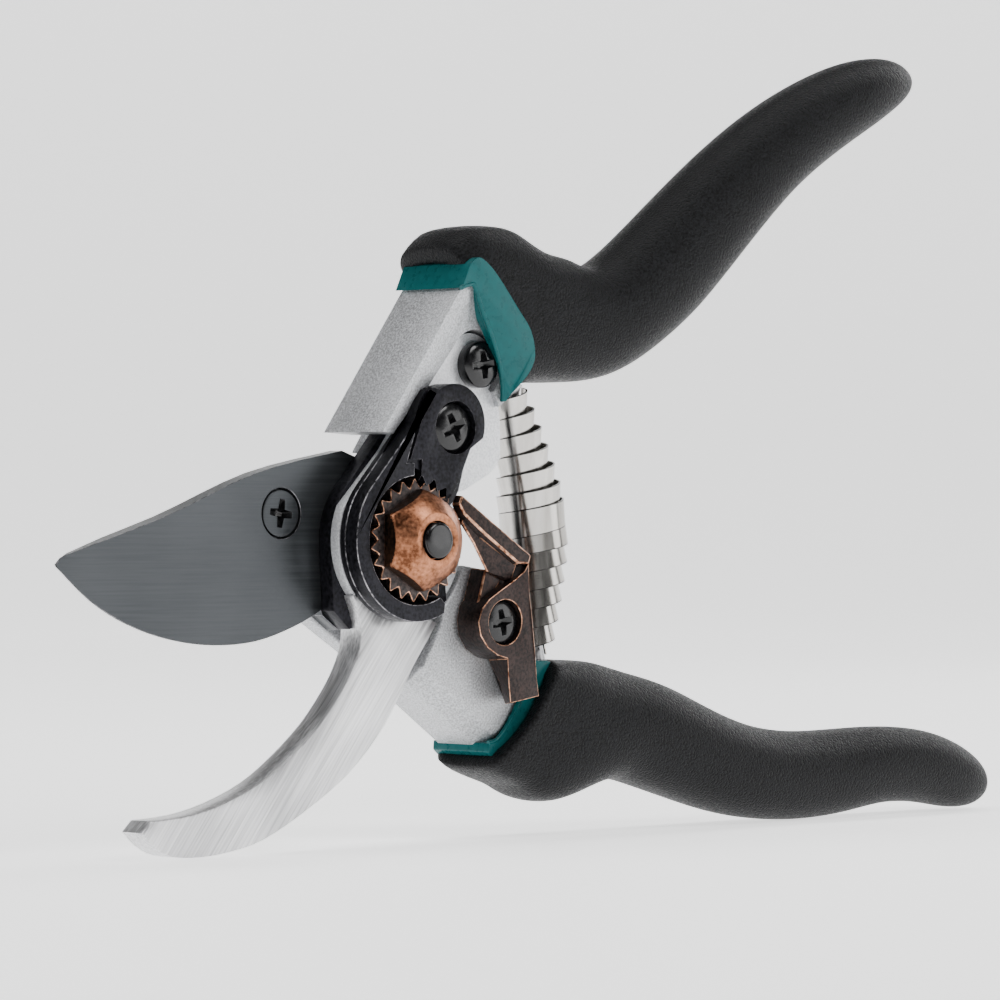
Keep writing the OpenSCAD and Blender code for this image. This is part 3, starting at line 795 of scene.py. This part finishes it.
HOOD_FRONT = [
    (23.0, -3.9, -11.1), (23.3, -9, -11.0), (23.9, -12.4, -10.95), (25.0, -19, -10.6),
    (25.6, -23, -10.3), (26.4, -26.0, -10.0), (19.9, -27.0, -10.0), (19.2, -23.5, -10.3),
    (18.7, -19.6, -10.7), (16.2, -19.0, -10.95), (13.9, -17.7, -11), (12.3, -15.7, -11),
    (11.8, -13.4, -11), (12.6, -11.3, -11), (14.3, -9.7, -11), (17.0, -8.2, -11),
    (20.2, -6.5, -11), (22.2, -5.2, -11)
]
HOOD_BACK = [
    (23.4, -3.6, -5.7), (23.7, -9, -5.7), (24.3, -12.4, -5.7), (25.6, -19, -6.9),
    (26.2, -23, -6.9), (27.0, -26.0, -6.9), (21.5, -27.3, -6.9), (20.2, -23.5, -6.9),
    (18.9, -19.9, -5.7), (16.4, -19.5, -5.7), (13.7, -18, -5.7), (12.1, -15.7, -5.7),
    (11.8, -13.2, -5.7), (12.3, -10.9, -5.7), (14.2, -8.9, -5.7), (16.8, -7.6, -5.7),
    (20.0, -5.9, -5.7), (22.2, -4.4, -5.7)
]
hood = stack("lever_body", [HOOD_FRONT, HOOD_BACK])
carve(hood, lathe("screw_room", [(3.75, -12), (3.75, -8.5), (2.06, -8.48), (2.06, -5)], LEVER_AT, 64))
shelf = stack("lever_shelf", [
    [(14.9, -4.8, -9.3), (18.8, -6.4, -9.3), (16, -9.4, -9.3), (12.6, -11.6, -9.1),
     (13.3, -10.3, -9.2)],
    [(14.9, -4.6, -5.7), (18.8, -6.2, -5.7), (16, -9.4, -5.7), (12.2, -11.6, -5.7),
     (13.1, -10.1, -5.7)],
])
for part in (arm_rib, arm_web, hood, shelf):
    paint(part, ANTIQUE, COPPER_EDGE)
    round_edges(part, 0.26, 3, 30, 1)
    fit(part, LEVER, "antique_copper")
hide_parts("lock_lever")


# ---- spring ----------------------------------------------------------------------------------

SPRING_TOP = (29.2, 24.9)
SPRING_LOW = (35.0, -19.7)
TURNS = 13
STRIP = 0.3
BOW = 2.2
END_R = 2.5
MID_R = 5.6
SLANT = 0.28
# Width of each border along the strip that is painted dark as shadow.
SHADOW_BORDER = 0.14
STRIP_SIDES = 6
# Sides of the strip painted dark as painted shadow: the two borders and the two narrow edges.
PAINTED_SHADOW_SIDES = (0, 2, 3, 5)


def volute_spring():
    """Two coils of flat strip in one: each turn stands out over its smaller neighbour.

    The strip's outer side has a narrow border along both edges, painted dark as painted shadow.
    """
    top = place(*SPRING_TOP, 0)
    low = place(*SPRING_LOW, 0)
    down = (low - top).normalized()
    side = Vector((0, 1, 0)).cross(down).normalized()
    if side.x < 0:
        side.negate()
    depthwise = down.cross(side)
    run = (low - top).length
    per_turn = 56
    total = TURNS * per_turn
    pitch = run / TURNS
    points = []
    for i in range(total + 1):
        t = i / total
        towards_middle = 1 - abs(2 * t - 1)
        r = END_R + (MID_R - END_R) * min(1.0, towards_middle * 1.12)
        tilt = SLANT * max(-1.0, min(1.0, (2 * t - 1) * 4))
        half = pitch * (0.56 + 0.12 * max(0.0, 1 - abs(2 * t - 1) * 6))
        a = 2 * math.pi * i / per_turn
        out = side * math.cos(a) + depthwise * math.sin(a)
        middle = top + down * (pitch * 0.5 + (run - pitch) * t)
        middle += side * (BOW * MM * math.sin(math.pi * t))
        near = 1 - SHADOW_BORDER * MM / half
        for inset, end in ((0, -1), (0, -near), (0, near), (0, 1), (STRIP, 1), (STRIP, -1)):
            points.append(middle + out * (r + tilt * end - inset) * MM + down * half * end)
    return from_faces("volute_spring", points, tube_faces(total + 1, STRIP_SIDES))


coil = volute_spring()
paint(coil, NICKEL, SCREW_BLACK_AND_SHADE)
# Painted shadow: the borders and the strip's narrow edges take the dark finish, for the gaps between
# turns.
for k, polygon in enumerate(coil.data.polygons[2:]):
    if k % STRIP_SIDES in PAINTED_SHADOW_SIDES:
        polygon.material_index = 1
shade(coil, 40)
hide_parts("spring")
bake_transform(coil)


# ---- CAD nodes that stay -----------------------------------------------------------------------

for node, finish in (
    ("lever_washer", ZINC), ("hub_washer", ZINC), ("lower_spring_seat", ZINC),
    ("upper_spring_seat", ZINC), ("pivot_bush", BRONZE)
):
    paint(CAD[node], finish)


# ---- stage, light and camera ---------------------------------------------------------------------

VIEW_TURN = math.radians(-43.0)
FLOOR_Z = cad_box[0][2]

# The camera looks level, and stands 0.83 m from the pivot, 43 degrees to the blade's side.
CAMERA_AT = (-0.55156, PLANE - 0.62026, 0.006557)
LENS = 182.3


def studio_sweep():
    """A floor that curves up into a wall behind the object."""
    flat_far = 1.3
    bend = 0.5
    wall = 0.9
    profile = [(-4.0, 0.0), (flat_far, 0.0)]
    for k in range(1, 25):
        a = math.radians(90 * k / 24)
        profile.append((flat_far + bend * math.sin(a), bend * (1 - math.cos(a))))
    profile.append((flat_far + bend, wall))
    half_width = 5.0
    turn = Matrix.Rotation(VIEW_TURN, 4, "Z")
    points = []
    for y, z in profile:
        for x in (-half_width, half_width):
            points.append(turn @ Vector((x, y, 0)) + Vector((0, 0, FLOOR_Z + z)))
    faces = [(2 * i, 2 * i + 1, 2 * i + 3, 2 * i + 2) for i in range(len(profile) - 1)]
    floor = from_faces("studio_floor", points, faces)
    for polygon in floor.data.polygons:
        polygon.use_smooth = True
    return floor


PAPER = grained("pale_paper", (0.90, 0.90, 0.90), (0.94, 0.94, 0.94), 0.0, (0.6, 0.7), 0.004,
                0.00001, 0.05, blotch=0.3)
# The paper glows a little, so that it stays pale under soft light.
glow = PAPER.node_tree.nodes["Principled BSDF"]
glow.inputs["Emission Color"].default_value = (1, 1, 1, 1)
glow.inputs["Emission Strength"].default_value = 1.25
floor = paint(studio_sweep(), PAPER)

TOWARDS_CAMERA = Vector((-0.682, -0.731, 0))
CAMERA_LEFT = Vector((-0.731, 0.682, 0))
UP = Vector((0, 0, 1))
MIDDLE = Vector((0.03, 0, 0.02))


def softbox(name, front, left, up, distance, size, power):
    """An area light that looks at the object, from a direction given from the camera's side."""
    direction = (TOWARDS_CAMERA * front + CAMERA_LEFT * left + UP * up).normalized()
    data = bpy.data.lights.new(name, "AREA")
    data.shape = "RECTANGLE"
    data.size, data.size_y = size
    data.energy = power
    lamp = bpy.data.objects.new(name, data)
    bpy.context.scene.collection.objects.link(lamp)
    lamp.location = MIDDLE + direction * distance
    lamp.rotation_euler = (-direction).to_track_quat("-Z", "Y").to_euler()


softbox("fill", 0.45, 0.8, 0.95, 1.0, (0.4, 0.4), 3.5)
softbox("top", -0.3, 0.1, 1.0, 0.9, (0.8, 0.4), 3.5)
softbox("key", 0.5, -0.75, 0.85, 1.1, (0.5, 0.5), 6)
softbox("face", 0.1, -1.0, 0.08, 1.2, (0.6, 0.6), 3.5)
softbox("edge", -0.75, -0.6, 0.5, 1.0, (0.2, 0.6), 3)

world = bpy.data.worlds.new("studio")
world.use_nodes = True
world.node_tree.nodes["Background"].inputs["Color"].default_value = (1, 1, 1, 1)
world.node_tree.nodes["Background"].inputs["Strength"].default_value = 0.06
bpy.context.scene.world = world

camera_data = bpy.data.cameras.new("camera")
camera_data.sensor_width = 36
camera_data.lens = LENS
camera_data.clip_start = 0.05
camera_data.clip_end = 20
camera = bpy.data.objects.new("camera", camera_data)
bpy.context.scene.collection.objects.link(camera)
camera.location = CAMERA_AT
camera.rotation_euler = (math.radians(90), 0, VIEW_TURN)
bpy.context.scene.camera = camera
